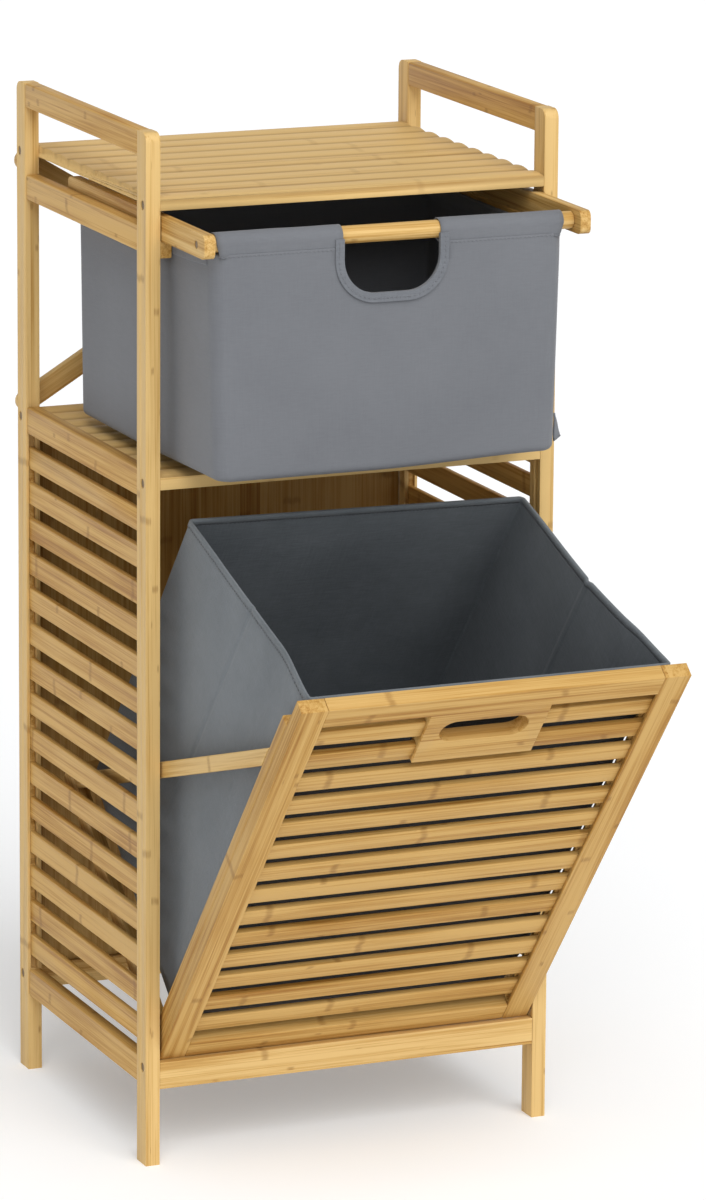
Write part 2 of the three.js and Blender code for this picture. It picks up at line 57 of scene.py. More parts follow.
# ---------------------------------------------------------------- camera, floor and lights
CAMERA_PLACE = Vector((-2.1519, -5.0702, 1.8295))
CAMERA_YAW = math.radians(23.034)
CAMERA_PITCH = math.radians(12.129)
CAMERA_ROLL = math.radians(0.423)
CAMERA_SHIFT = -0.12
CAMERA_REACH = 200
LENS = 187.0
FILM_WIDTH = 36

WHITE = (1, 1, 1, 1)
FLOOR_COLOUR = (0.80, 0.81, 0.82, 1)
FLOOR_ROUGHNESS = 0.9
FLOOR_GLOW = 0.24
FLOOR_REACH = 40

# The surrounding light is bright up to a low rise above the horizon, then weaker overhead.
LIGHT_RISE = (0.14, 0.28)
LIGHT_STRENGTH = (1.0, 0.32)
KEY_FROM = Vector((-0.05, -0.68, 0.73))
KEY_DISTANCE = 4
KEY_STRENGTH = 2.75
KEY_WIDTH = math.radians(55)


def add_camera():
    level_reach = math.cos(CAMERA_PITCH)
    forward = Vector((math.sin(CAMERA_YAW) * level_reach, math.cos(CAMERA_YAW) * level_reach,
                      -math.sin(CAMERA_PITCH)))
    level = Vector((math.cos(CAMERA_YAW), -math.sin(CAMERA_YAW), 0))
    upright = level.cross(forward)
    right = math.cos(CAMERA_ROLL) * level + math.sin(CAMERA_ROLL) * upright
    up = math.cos(CAMERA_ROLL) * upright - math.sin(CAMERA_ROLL) * level
    data = bpy.data.cameras.new("camera")
    data.lens = LENS
    data.sensor_width = FILM_WIDTH
    data.shift_y = CAMERA_SHIFT
    data.clip_end = CAMERA_REACH
    camera = bpy.data.objects.new("camera", data)
    turn = Matrix((right, up, -forward)).transposed().to_4x4()
    camera.matrix_world = Matrix.Translation(CAMERA_PLACE) @ turn
    bpy.context.scene.collection.objects.link(camera)
    bpy.context.scene.camera = camera


def add_floor():
    bm = bmesh.new()
    bmesh.ops.create_grid(bm, x_segments=4, y_segments=4, size=FLOOR_REACH)
    floor = link_mesh("floor", bm)
    mat, _, shader = new_material("pale_floor")
    shader.inputs["Base Color"].default_value = FLOOR_COLOUR
    shader.inputs["Roughness"].default_value = FLOOR_ROUGHNESS
    shader.inputs["Emission Color"].default_value = WHITE
    shader.inputs["Emission Strength"].default_value = FLOOR_GLOW
    floor.data.materials.append(mat)


def light_studio():
    """A pale surround, and one wide soft key light from high in front."""
    world = bpy.data.worlds.new("studio")
    world.use_nodes = True
    tree = world.node_tree
    background = tree.nodes["Background"].inputs
    background["Color"].default_value = WHITE
    rise = parts_of(tree, node(tree, "ShaderNodeTexCoord").outputs["Generated"])[2]
    tree.links.new(remap(tree, rise, LIGHT_RISE, LIGHT_STRENGTH), background["Strength"])
    bpy.context.scene.world = world
    bpy.context.scene.view_settings.view_transform = "Standard"

    data = bpy.data.lights.new("key", "SUN")
    data.energy = KEY_STRENGTH
    data.angle = KEY_WIDTH
    key = bpy.data.objects.new("key", data)
    key.location = KEY_DISTANCE * KEY_FROM
    key.rotation_euler = (-KEY_FROM).to_track_quat("-Z", "Y").to_euler()
    bpy.context.scene.collection.objects.link(key)


# ---------------------------------------------------------------- mesh helpers
SAME_POINT = 1e-6
PARALLEL = 0.99


def link_mesh(name, bm, smooth=True):
    mesh = bpy.data.meshes.new(name)
    bm.to_mesh(mesh)
    bm.free()
    for face in mesh.polygons:
        face.use_smooth = smooth
    piece = bpy.data.objects.new(name, mesh)
    bpy.context.scene.collection.objects.link(piece)
    return piece


def box_mesh(low, high):
    """A box between two corners."""
    bm = bmesh.new()
    bmesh.ops.create_cube(bm, size=1)
    low, high = Vector(low), Vector(high)
    bmesh.ops.scale(bm, vec=high - low, verts=bm.verts)
    bmesh.ops.translate(bm, vec=(low + high) / 2, verts=bm.verts)
    return bm


def upright_grid(columns, rows):
    """A flat sheet from -1 to 1 along X and Z, facing the front."""
    bm = bmesh.new()
    bmesh.ops.create_grid(bm, x_segments=columns, y_segments=rows, size=1)
    bmesh.ops.rotate(bm, verts=bm.verts, matrix=Matrix.Rotation(math.radians(90), 3, "X"))
    return bm


def edges_along(bm, axis, keep=lambda edge: True):
    def runs(edge):
        line = (edge.verts[1].co - edge.verts[0].co).normalized()
        return abs(line[axis]) > PARALLEL and keep(edge)
    return [edge for edge in bm.edges if runs(edge)]


def round_edges(bm, edges, radius, segments):
    bmesh.ops.bevel(bm, geom=edges, offset=radius, segments=segments, affect="EDGES",
                    profile=0.5, material=-1)


def take_off(bm, unwanted):
    bmesh.ops.delete(bm, geom=[face for face in bm.faces if unwanted(face)], context="FACES")


def everything(bm):
    return bm.verts[:] + bm.edges[:] + bm.faces[:]


def only(kind, geom):
    return [part for part in geom if isinstance(part, kind)]


def slice_up(bm, axis, places):
    """Cuts the mesh across an axis, so that it can bend at each place."""
    normal = Vector((0, 0, 0))
    normal[axis] = 1
    for place in places:
        bmesh.ops.bisect_plane(bm, geom=everything(bm), dist=SAME_POINT,
                               plane_co=normal * place, plane_no=normal)


def steps(start, stop, pitch):
    """Places about a pitch apart between two ends, without the ends."""
    count = max(1, round((stop - start) / pitch))
    return [start + (stop - start) * k / count for k in range(1, count)]


def share(value):
    return min(1, max(0, value))


def smoothstep(low, high, value):
    t = share((value - low) / (high - low))
    return t * t * (3 - 2 * t)


def flat_topped(offset, power):
    """1 in the middle, 0 at an offset of 1 or more, and flatter in between as power grows."""
    return max(0, 1 - abs(offset) ** power)


def tidy(bm):
    bmesh.ops.remove_doubles(bm, verts=bm.verts, dist=SAME_POINT)
    bmesh.ops.recalc_face_normals(bm, faces=bm.faces)


def thicken(piece, thickness, offset=-1, inner_slot=0):
    wall = piece.modifiers.new("wall", "SOLIDIFY")
    wall.thickness = thickness
    wall.offset = offset
    wall.use_even_offset = False
    wall.material_offset = inner_slot


def soften(piece, width):
    fold = piece.modifiers.new("soften", "BEVEL")
    fold.width = width
    fold.segments = 3
    return fold


def finish_piece(piece, body, materials):
    for mat in materials:
        piece.data.materials.append(mat)
    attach(piece, body)


# ---------------------------------------------------------------- material helpers
def new_material(name):
    mat = bpy.data.materials.new(name)
    mat.use_nodes = True
    return mat, mat.node_tree, mat.node_tree.nodes["Principled BSDF"]


def plug(tree, socket, value):
    if isinstance(value, bpy.types.NodeSocket):
        tree.links.new(value, socket)
    else:
        socket.default_value = value


def node(tree, kind, inputs=None, **settings):
    made = tree.nodes.new(kind)
    for key, value in settings.items():
        setattr(made, key, value)
    for key, value in (inputs or {}).items():
        plug(tree, made.inputs[key], value)
    return made


def maths(tree, operation, first, second=0.0, third=0.0):
    inputs = {0: first, 1: second, 2: third}
    return node(tree, "ShaderNodeMath", inputs, operation=operation).outputs[0]


def remap(tree, value, span, result, soft=False):
    """Takes a value from one span to another and holds it at the ends."""
    inputs = {0: value, 1: span[0], 2: span[1], 3: result[0], 4: result[1]}
    curve = "SMOOTHSTEP" if soft else "LINEAR"
    return node(tree, "ShaderNodeMapRange", inputs, interpolation_type=curve).outputs[0]


def parts_of(tree, vector):
    return node(tree, "ShaderNodeSeparateXYZ", {0: vector}).outputs


def ramp(tree, value, stops):
    made = node(tree, "ShaderNodeValToRGB", {"Fac": value})
    band = made.color_ramp
    while len(band.elements) < len(stops):
        band.elements.new(0.5)
    for element, (place, colour) in zip(band.elements, stops):
        element.position = place
        element.color = (*colour, 1)
    return made.outputs["Color"]


def mix_colour(tree, fac, first, second, blend="MIX"):
    made = node(tree, "ShaderNodeMix", {0: fac, 6: first, 7: (*second, 1)},
                data_type="RGBA", blend_type=blend)
    return made.outputs[2]


def laid_along(tree, place, turn):
    """The piece's own coordinates, centred on a place and turned, so a pattern follows it."""
    where = node(tree, "ShaderNodeTexCoord").outputs["Object"]
    return node(tree, "ShaderNodeMapping", {"Vector": where, "Location": place, "Rotation": turn},
                vector_type="TEXTURE").outputs["Vector"]


def stretched(tree, vector, scale):
    return node(tree, "ShaderNodeMapping", {"Vector": vector, "Scale": scale}).outputs["Vector"]


def cloud(tree, vector, scale, detail, rough=0.6):
    """Noise with its own scale along each axis."""
    inputs = {"Vector": stretched(tree, vector, scale), "Scale": 1, "Detail": detail,
              "Roughness": rough}
    return node(tree, "ShaderNodeTexNoise", inputs).outputs["Fac"]


def raise_relief(tree, shader, height, strength, depth):
    bump = node(tree, "ShaderNodeBump", {"Strength": strength, "Distance": depth, "Height": height})
    tree.links.new(bump.outputs["Normal"], shader.inputs["Normal"])


# ---------------------------------------------------------------- bamboo, cloth and metal
PALE_BAMBOO = (0.68, 0.46, 0.185)
MID_BAMBOO = (0.54, 0.325, 0.10)
DEEP_BAMBOO = (0.38, 0.19, 0.042)
KNUCKLE_AND_GROOVE_SHADE_BROWN = (0.24, 0.11, 0.025)
BAMBOO_STOPS = [(0.42, DEEP_BAMBOO), (0.55, MID_BAMBOO), (0.70, PALE_BAMBOO)]
TONE_OFFSET = -0.26
STRIP_SHIFT = 3.7

# Scales are cells per metre: along the grain, across the strips and through them.
FIBRE_SCALE = (7, 700, 700)
STREAK_SCALE = (3, 190, 190)
CLOUD_SCALE = (5, 30, 30)
STREAK_SHARE, FIBRE_SHARE, CLOUD_SHARE, STRIP_SHARE = 0.7, 0.55, 0.35, 0.12
KNUCKLES_PER_METRE = 2.7
KNUCKLE_DEPTH_SCALE = 22
KNUCKLE_SPAN = (0.002, 0.014)
KNUCKLE_STRENGTH = 0.8
KNUCKLE_WOBBLE = 0.022
KNUCKLE_WOBBLE_SCALE = (12, 90, 90)
KNUCKLE_PATCH_SCALE = (60, 500, 500)
KNUCKLE_RELIEF = 0.8
SHELF_KNUCKLES = 0.4
GROOVE_SPAN = (0.015, 0.2)
UPWARD_SPAN = (0.5, 0.8)
WARM_SHADE = (1.0, 0.92, 0.76)
STREAK_SPAN = (0.3, 0.7)
BAMBOO_ROUGHNESS = (0.40, 0.54)
BAMBOO_GLOSS = 0.18
BAMBOO_RELIEF = 0.3
BAMBOO_DEPTH = 0.4 * MM


def knuckle_marks(tree, grain, strip):
    """Thin brown bands across a strip where the cane had its joints, at chance places."""
    cell = stretched(tree, grain, (KNUCKLES_PER_METRE, 1 / strip, KNUCKLE_DEPTH_SCALE))
    nearest = node(tree, "ShaderNodeTexVoronoi", {"Vector": cell, "Scale": 1, "Randomness": 1.0})
    gap = maths(tree, "SUBTRACT", parts_of(tree, cell)[0],
                parts_of(tree, nearest.outputs["Position"])[0])
    gap = maths(tree, "SUBTRACT", gap, KNUCKLE_WOBBLE / 2)
    gap = maths(tree, "MULTIPLY_ADD", cloud(tree, grain, KNUCKLE_WOBBLE_SCALE, 1),
                KNUCKLE_WOBBLE, gap)
    band = remap(tree, maths(tree, "ABSOLUTE", gap), KNUCKLE_SPAN, (KNUCKLE_STRENGTH, 0), soft=True)
    return maths(tree, "MULTIPLY", band, cloud(tree, grain, KNUCKLE_PATCH_SCALE, 3))


def groove_shade(tree, strips, strength):
    """Painted shade in the flutes between two strips, on upward faces only."""
    off_centre = maths(tree, "SUBTRACT", maths(tree, "FRACT", strips), 0.5)
    to_edge = maths(tree, "SUBTRACT", 0.5, maths(tree, "ABSOLUTE", off_centre))
    groove = remap(tree, to_edge, GROOVE_SPAN, (strength, 0), soft=True)
    facing = parts_of(tree, node(tree, "ShaderNodeNewGeometry").outputs["Normal"])
    return maths(tree, "MULTIPLY", groove, remap(tree, facing[2], UPWARD_SPAN, (0, 1)))


def bamboo(name, order, strip, phase=0.0, place=(0, 0, 0), turn=(0, 0, 0),
           shade=1.0, lift=0.0, flute=0.0):
    """Laminated bamboo. order names the axes along the grain, across the strips and through them.
    strip is the width of one glued strip or slat, and phase where the first one starts.
    shade darkens and warms the wood, as painted shade on the back panel and the door; lift makes it
    paler and flute paints shade into the grooves between strips."""
    mat, tree, shader = new_material(name)
    split = parts_of(tree, laid_along(tree, place, turn))
    along, across, through = (split["xyz".index(axis)] for axis in order)
    strips = maths(tree, "DIVIDE", maths(tree, "SUBTRACT", across, phase), strip)
    luck = node(tree, "ShaderNodeTexWhiteNoise", {"W": maths(tree, "FLOOR", strips)},
                noise_dimensions="1D").outputs["Value"]
    shifted = maths(tree, "MULTIPLY_ADD", luck, STRIP_SHIFT, along)
    grain = node(tree, "ShaderNodeCombineXYZ", {0: shifted, 1: across, 2: through}).outputs[0]

    fibre = cloud(tree, grain, FIBRE_SCALE, 4, 0.7)
    streak = cloud(tree, grain, STREAK_SCALE, 4)
    tone = maths(tree, "MULTIPLY_ADD", streak, STREAK_SHARE,
                 maths(tree, "MULTIPLY", fibre, FIBRE_SHARE))
    tone = maths(tree, "MULTIPLY_ADD", cloud(tree, grain, CLOUD_SCALE, 2), CLOUD_SHARE, tone)
    tone = maths(tree, "MULTIPLY_ADD", luck, STRIP_SHARE, tone)
    colour = ramp(tree, maths(tree, "ADD", tone, lift + TONE_OFFSET), BAMBOO_STOPS)

    marks = knuckle_marks(tree, grain, strip)
    if flute:
        marks = maths(tree, "MULTIPLY", marks, SHELF_KNUCKLES)
    colour = mix_colour(tree, marks, colour, KNUCKLE_AND_GROOVE_SHADE_BROWN)
    # On the shelf, painted shade darkens the flutes between strips, on upward faces only.
    if flute:
        colour = mix_colour(tree, groove_shade(tree, strips, flute), colour, KNUCKLE_AND_GROOVE_SHADE_BROWN)
    if shade != 1.0:
        darker = tuple(shade * part for part in WARM_SHADE)
        colour = mix_colour(tree, 1.0, colour, darker, "MULTIPLY")
    tree.links.new(colour, shader.inputs["Base Color"])
    rough = remap(tree, streak, STREAK_SPAN, BAMBOO_ROUGHNESS)
    tree.links.new(rough, shader.inputs["Roughness"])
    height = maths(tree, "MULTIPLY_ADD", marks, KNUCKLE_RELIEF, fibre)
    raise_relief(tree, shader, height, BAMBOO_RELIEF, BAMBOO_DEPTH)
    shader.inputs["Specular IOR Level"].default_value = BAMBOO_GLOSS
    return mat


WEAVE_UNEVENNESS = 0.6
LEVEL_SLUB_SCALE = (60, 60, 900)
FINE_SLUB_SCALE = (90, 90, 700)
UPRIGHT_SLUB_SCALE = (900, 900, 60)
MOTTLING_SCALE = (9, 9, 9)
MOTTLING_SHARE, SLUB_SHARE, THREAD_SHARE = 0.55, 0.26, 0.05
CLOTH_DARK_END, CLOTH_LIGHT_END = 0.42, 0.9
CLOTH_ROUGHNESS = 0.86
CLOTH_GLOSS = 0.25
CLOTH_SHEEN = 0.18
CLOTH_SHEEN_ROUGHNESS = 0.5
SLUB_RELIEF = 0.7
CLOTH_DEPTH = 0.5 * MM


def cloth(name, dark, light, pitch, place=(0, 0, 0), turn=(0, 0, 0), relief=0.35):
    """Sewn cloth: a fine weave of the given thread pitch, slubs along the threads and mottling."""
    mat, tree, shader = new_material(name)
    local = laid_along(tree, place, turn)
    weave = {"Vector": local, "Scale": math.pi / (10 * pitch), "Distortion": WEAVE_UNEVENNESS,
             "Detail": 1, "Detail Scale": 2}
    across, back, up = (node(tree, "ShaderNodeTexWave", weave, bands_direction=axis,
                             wave_profile="SIN").outputs["Fac"] for axis in "XYZ")
    threads = maths(tree, "MULTIPLY", up, maths(tree, "ADD", across, back))
    slubs = maths(tree, "ADD", cloud(tree, local, LEVEL_SLUB_SCALE, 3),
                  cloud(tree, local, FINE_SLUB_SCALE, 2))
    slubs = maths(tree, "ADD", slubs, cloud(tree, local, UPRIGHT_SLUB_SCALE, 3))
    mottling = cloud(tree, local, MOTTLING_SCALE, 4, 0.55)
    tone = maths(tree, "MULTIPLY_ADD", mottling, MOTTLING_SHARE,
                 maths(tree, "MULTIPLY", slubs, SLUB_SHARE))
    tone = maths(tree, "MULTIPLY_ADD", threads, THREAD_SHARE, tone)
    stops = [(CLOTH_DARK_END, dark), (CLOTH_LIGHT_END, light)]
    tree.links.new(ramp(tree, tone, stops), shader.inputs["Base Color"])
    shader.inputs["Roughness"].default_value = CLOTH_ROUGHNESS
    shader.inputs["Specular IOR Level"].default_value = CLOTH_GLOSS
    shader.inputs["Sheen Weight"].default_value = CLOTH_SHEEN
    shader.inputs["Sheen Roughness"].default_value = CLOTH_SHEEN_ROUGHNESS
    height = maths(tree, "MULTIPLY_ADD", slubs, SLUB_RELIEF, threads)
    raise_relief(tree, shader, height, relief, CLOTH_DEPTH)
    return mat


SPECK_SCALE = 900
SPECK_SPAN = (0.3, 0.7)
DULL_END, BRIGHT_END = 0.35, 0.65
DULLNESS = 0.6
WEAR = 0.15
METALLIC = 0.85


def metal(name, colour, rough):
    """Plated metal with dull specks."""
    mat, tree, shader = new_material(name)
    where = node(tree, "ShaderNodeTexCoord").outputs["Object"]
    speck = node(tree, "ShaderNodeTexNoise", {"Vector": where, "Scale": SPECK_SCALE, "Detail": 3})
    speck = speck.outputs["Fac"]
    dull = tuple(DULLNESS * part for part in colour)
    stops = [(DULL_END, dull), (BRIGHT_END, colour)]
    tree.links.new(ramp(tree, speck, stops), shader.inputs["Base Color"])
    wear = remap(tree, speck, SPECK_SPAN, (rough, rough + WEAR))
    tree.links.new(wear, shader.inputs["Roughness"])
    shader.inputs["Metallic"].default_value = METALLIC
    return mat


# ---------------------------------------------------------------- finishes of the frame's pieces
TILT = math.radians(39.5)
PIVOT = middle("left_hinge_pin")
PIVOT_BEHIND_DOOR = 9 * MM
PIVOT_ABOVE_EDGE = 10 * MM
HAMPER_PLACE = (0, PIVOT.y, PIVOT.z)
HAMPER_BRACE_ANGLE = math.radians(33.9)
REAR_BRACE_ANGLE = math.atan2(228.8, 380)
REAR_BRACE_CENTRE = (middle("rising_brace_bar").x, 0, middle("rising_brace_bar").z)
BOARD_STRIP = 33.4 * MM
SHELF_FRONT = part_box("top_shelf")[0].y
SIDE_SLAT_PITCH = 33.9 * MM
SIDE_SLAT_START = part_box("left_side_slats")[0].z - 6.7 * MM
DOOR_SLAT_PITCH = 33.4 * MM
DOOR_SLAT_START = 18.4 * MM

rear_brace = {"order": "xzy", "strip": 10 * MM, "place": REAR_BRACE_CENTRE}
hamper = {"place": HAMPER_PLACE, "turn": (TILT, 0, 0)}
# The door's shade is painted shade, for its face that tilts down away from the key light.
door = {**hamper, "shade": 0.86, "lift": 0.03}
BAMBOO = {
    "post": bamboo("bamboo_post", "zxy", 7.5 * MM, lift=0.09),
    "board": bamboo("bamboo_shelf", "xyz", BOARD_STRIP, SHELF_FRONT, lift=0.15, flute=0.42),
    "rail_y": bamboo("bamboo_side_rail", "yzx", 11.5 * MM, shade=0.91),
    "rail_x": bamboo("bamboo_cross_rail", "xzy", 12.5 * MM),
    "side_slats": bamboo("bamboo_side_slats", "yzx", SIDE_SLAT_PITCH, SIDE_SLAT_START,
                         shade=0.91),
    # The back panel's low shade is painted shade for the dark inside of the cabinet.
    "panel": bamboo("bamboo_back_panel", "zxy", 21 * MM, shade=0.66),
    "rising": bamboo("bamboo_rising_brace", **rear_brace, turn=(0, -REAR_BRACE_ANGLE, 0)),
    "falling": bamboo("bamboo_falling_brace", **rear_brace, turn=(0, REAR_BRACE_ANGLE, 0)),
    "runner": bamboo("bamboo_runner", "yzx", 22 * MM),
    "dowel": bamboo("bamboo_dowel", "xzy", 18 * MM),
    "stile": bamboo("bamboo_door_stile", "zxy", 12.5 * MM, **door),
    "door_rail": bamboo("bamboo_door_rail", "xzy", 12 * MM, **door),
    "door_slats": bamboo("bamboo_door_slats", "xzy", DOOR_SLAT_PITCH, DOOR_SLAT_START, **door),
    "bottom_bar": bamboo("bamboo_bottom_bar", "yzx", 11 * MM, **hamper),
    "hamper_brace": bamboo("bamboo_hamper_brace", "zxy", 12 * MM, place=HAMPER_PLACE,
                           turn=(TILT + HAMPER_BRACE_ANGLE, 0, 0)),
}
STEEL = metal("bronzed_steel", (0.27, 0.19, 0.11), 0.36)

# The first word found in a piece's name gives its bamboo and how far its edges are eased, in mm.
FINISH_OF = [
    ("_post", "post", 2.2), ("top_shelf", "board", 1.0), ("mid_shelf", "board", 1.0),
    ("back_panel", "panel", 0.5), ("rising_brace", "rising", 1.5),
    ("falling_brace", "falling", 1.5), ("side_slats", "side_slats", 1.0),
    ("drawer_guide", "rail_y", 1.2), ("front_bottom_rail", "rail_x", 1.6),
    ("rear_bottom_rail", "rail_x", 1.6), ("_runner", "runner", 1.8), ("_dowel", "dowel", 0.8),
    ("door_stile", "stile", 1.8), ("door_slats", "door_slats", 1.0),
    ("door_top_rail", "door_rail", 1.5), ("door_bottom_rail", "door_rail", 1.5),
    ("cross_bar", "door_rail", 1.2), ("hamper_side_bar", "stile", 1.5),
    ("hamper_bottom_bar", "bottom_bar", 1.5), ("hamper_brace", "hamper_brace", 1.5),
    ("_rail", "rail_y", 1.6),
]
METAL_WORDS = ("bolt", "screw", "pin")
METAL_EASING = 0.5
WIDE_EASING = 1.3
SHARP_EDGE = math.radians(26)
LOOSE_POINT = 1e-5


def ease_edges(piece, width):
    arris = piece.modifiers.new("arris", "BEVEL")
    arris.width = width * MM
    arris.segments = 3 if width > WIDE_EASING else 2
    arris.limit_method = "ANGLE"
    arris.angle_limit = SHARP_EDGE
    arris.harden_normals = True
    arris.miter_outer = "MITER_ARC"


def finish_frame():
    """Bamboo or steel for every hard piece. The two bags are hidden behind their sewn ones."""
    for name, piece in nodes.items():
        piece.data.materials.clear()
        for face in piece.data.polygons:
            face.use_smooth = True
        piece.modifiers.new("weld", "WELD").merge_threshold = LOOSE_POINT
        if name.endswith("_bag"):
            continue
        if any(word in name for word in METAL_WORDS):
            finish, width = STEEL, METAL_EASING
        else:
            finish, width = next((BAMBOO[key], size) for word, key, size in FINISH_OF
                                 if word in name)
        piece.data.materials.append(finish)
        ease_edges(piece, width)


# ---------------------------------------------------------------- sewn pieces
STITCH_WIDTH = 0.7 * MM
STITCH_LENGTH = 2.8 * MM
STITCH_PITCH = 4


def ripple(point, scale, seed):
    return noise.noise(point * scale + Vector((seed, 2.3 * seed, -seed)))


def unevenness(point, scale, seed, steady, lively):
    """How far soft cloth strays: a steady part and a rippling part, both in mm."""
    return (steady + lively * ripple(point, scale, seed)) * MM


def sew_row(name, body, mat, places, directions, length=STITCH_LENGTH):
    """A row of short stitches lying along the given directions."""
    bm = bmesh.new()
    size = Matrix.Diagonal((length / 2, STITCH_WIDTH / 2, STITCH_WIDTH / 2, 1))
    for place, direction in zip(places, directions):
        lie = Vector(direction).to_track_quat("X", "Z").to_matrix().to_4x4()
        bmesh.ops.create_uvsphere(bm, u_segments=6, v_segments=4, radius=1,
                                  matrix=Matrix.Translation(place) @ lie @ size)
    finish_piece(link_mesh(name, bm), body, [mat])


# Drawer bag: its open box hangs from two dowels by sewn sleeves.
FRONT_DOWEL = middle("front_dowel")
REAR_DOWEL = middle("rear_dowel")
SLIPPED = -3 * MM
SEAM_DROP = 12.5 * MM
SLEEVE_RADIUS = 9.8 * MM
SLEEVE_SEAM = 9.2 * MM
SLEEVE_INNER_END = 47 * MM
SLEEVE_OUTER_END = 166.5 * MM
SLEEVE_CUT = 6 * MM
SLEEVE_DRAW_IN = 3.5 * MM
SLEEVE_DRAW_REACH = 12 * MM

DRAWER_HALF = 175 * MM
DRAWER_FRONT = FRONT_DOWEL.y - 9.7 * MM
DRAWER_REAR = REAR_DOWEL.y + 9.7 * MM
DRAWER_MIDDLE = (DRAWER_FRONT + DRAWER_REAR) / 2
DRAWER_TOP = FRONT_DOWEL.z - SEAM_DROP + 3 * MM
DRAWER_CAD_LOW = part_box("drawer_bag")[0]
DRAWER_FLOOR = DRAWER_CAD_LOW.z + 1 * MM
CORNER_RADIUS = 17 * MM
FOLD_RADIUS = 6 * MM
RIM_SAG = 5.0 * MM
RIM_BAND = (0.75, 1.0)
FLOOR_BAND = 0.02
COARSE_CUT, FINE_CUT = 9 * MM, 3 * MM
DEPTH_CUT = 10 * MM
DRAWER_WALL = 1.6 * MM
SLEEVE_WALL = 1.1 * MM
TAB_WALL = 1.8 * MM
RIGHT_LIFT = 5 * MM
RIGHT_LIFT_SPAN = (-0.02, 0.15)
RIGHT_LIFT_DEPTH = 60 * MM
SIDES_LOOSEN = 80 * MM

REAR_BEGINS = 200 * MM
FRONT_HALF_WIDTH = 168.5
REAR_SPREAD = 7.5
FLOOR_LEAN = 4.5
REAR_LEAN_LOSS = 2.0
SHOULDER_HEIGHT = 838 * MM
SHOULDER_DROP = 180 * MM
NECK = (836 * MM, 846 * MM)
NECK_HALF_WIDTH = 171 * MM

CUT_HALF = 46 * MM
CUT_LOW = FRONT_DOWEL.z - 52 * MM
CUT_RADIUS = 31 * MM
CUT_STRAIGHT = CUT_LOW + CUT_RADIUS
CUT_ALLOWANCE = 2.5 * MM
FINE_REACH = 54 * MM
BINDING = 8.5 * MM
BINDING_THICKNESS = 3.9 * MM
BINDING_TOP = FRONT_DOWEL.z - 2 * MM
BINDING_SEAM = 0.6 * BINDING
BINDING_STITCH = 2.6 * MM

SIDE_HEM_X = 170.4
SIDE_HEM_HALF = 1.4
SIDE_HEM_DEPTH = 9 * MM
SIDE_HEM_RISE = 0.6 * MM
TAB_PLACE = Vector((163.5 * MM, DRAWER_FRONT + 15 * MM, DRAWER_FLOOR + 24 * MM))
TAB_REACH, TAB_FORWARD, TAB_HEIGHT, TAB_WAVE = 8, 4, 26, 0.8


def towards_rear(y):
    return smoothstep(DRAWER_CAD_LOW.y, DRAWER_CAD_LOW.y + REAR_BEGINS, y)


def drawer_bag_half_width(y, z):
    """The sides lean in towards the front and the floor, and bulge out below the guides."""
    back = towards_rear(y)
    drop = share((SHOULDER_HEIGHT - z) / SHOULDER_DROP)
    lean = (FLOOR_LEAN - REAR_LEAN_LOSS * back) * drop
    wide = (FRONT_HALF_WIDTH + REAR_SPREAD * back - lean) * MM
    return wide + (min(wide, NECK_HALF_WIDTH) - wide) * smoothstep(*NECK, z)


def cut_distance(x, z):
    """How far a point of the front lies outside the U-shaped cut-out, negative inside it."""
    side = abs(x - SLIPPED) - (CUT_HALF - CUT_RADIUS)
    low = CUT_STRAIGHT - z
    return math.hypot(max(side, 0), max(low, 0)) + min(max(side, low), 0) - CUT_RADIUS


def open_drawer_box():
    """The bag before it sags: rounded corners, and cut fine enough to bend."""
    bm = box_mesh((-DRAWER_HALF, DRAWER_FRONT, DRAWER_FLOOR),
                  (DRAWER_HALF, DRAWER_REAR, DRAWER_TOP))
    take_off(bm, lambda face: face.normal.z > 0.5)
    front_corners = edges_along(bm, 2, lambda edge: edge.verts[0].co.y < 0)
    round_edges(bm, front_corners, CORNER_RADIUS, 6)
    rear_corners = edges_along(bm, 2, lambda edge: edge.verts[0].co.y > DRAWER_REAR - 1 * MM)
    round_edges(bm, rear_corners, FOLD_RADIUS, 4)
    floor_edges = [edge for edge in bm.edges
                   if all(v.co.z < DRAWER_FLOOR + 1 * MM for v in edge.verts)
                   and not all(face.normal.z < -0.5 for face in edge.link_faces)]
    round_edges(bm, floor_edges, FOLD_RADIUS, 4)
    fine_floor = CUT_LOW - 8 * MM
    slice_up(bm, 0, steps(-DRAWER_HALF, -FINE_REACH, COARSE_CUT) +
             steps(-FINE_REACH, FINE_REACH, FINE_CUT) +
             steps(FINE_REACH, DRAWER_HALF, COARSE_CUT))
    slice_up(bm, 1, steps(DRAWER_FRONT, DRAWER_REAR, DEPTH_CUT))
    slice_up(bm, 2, steps(DRAWER_FLOOR, fine_floor, COARSE_CUT) +
             steps(fine_floor, DRAWER_TOP, FINE_CUT))
    return bm


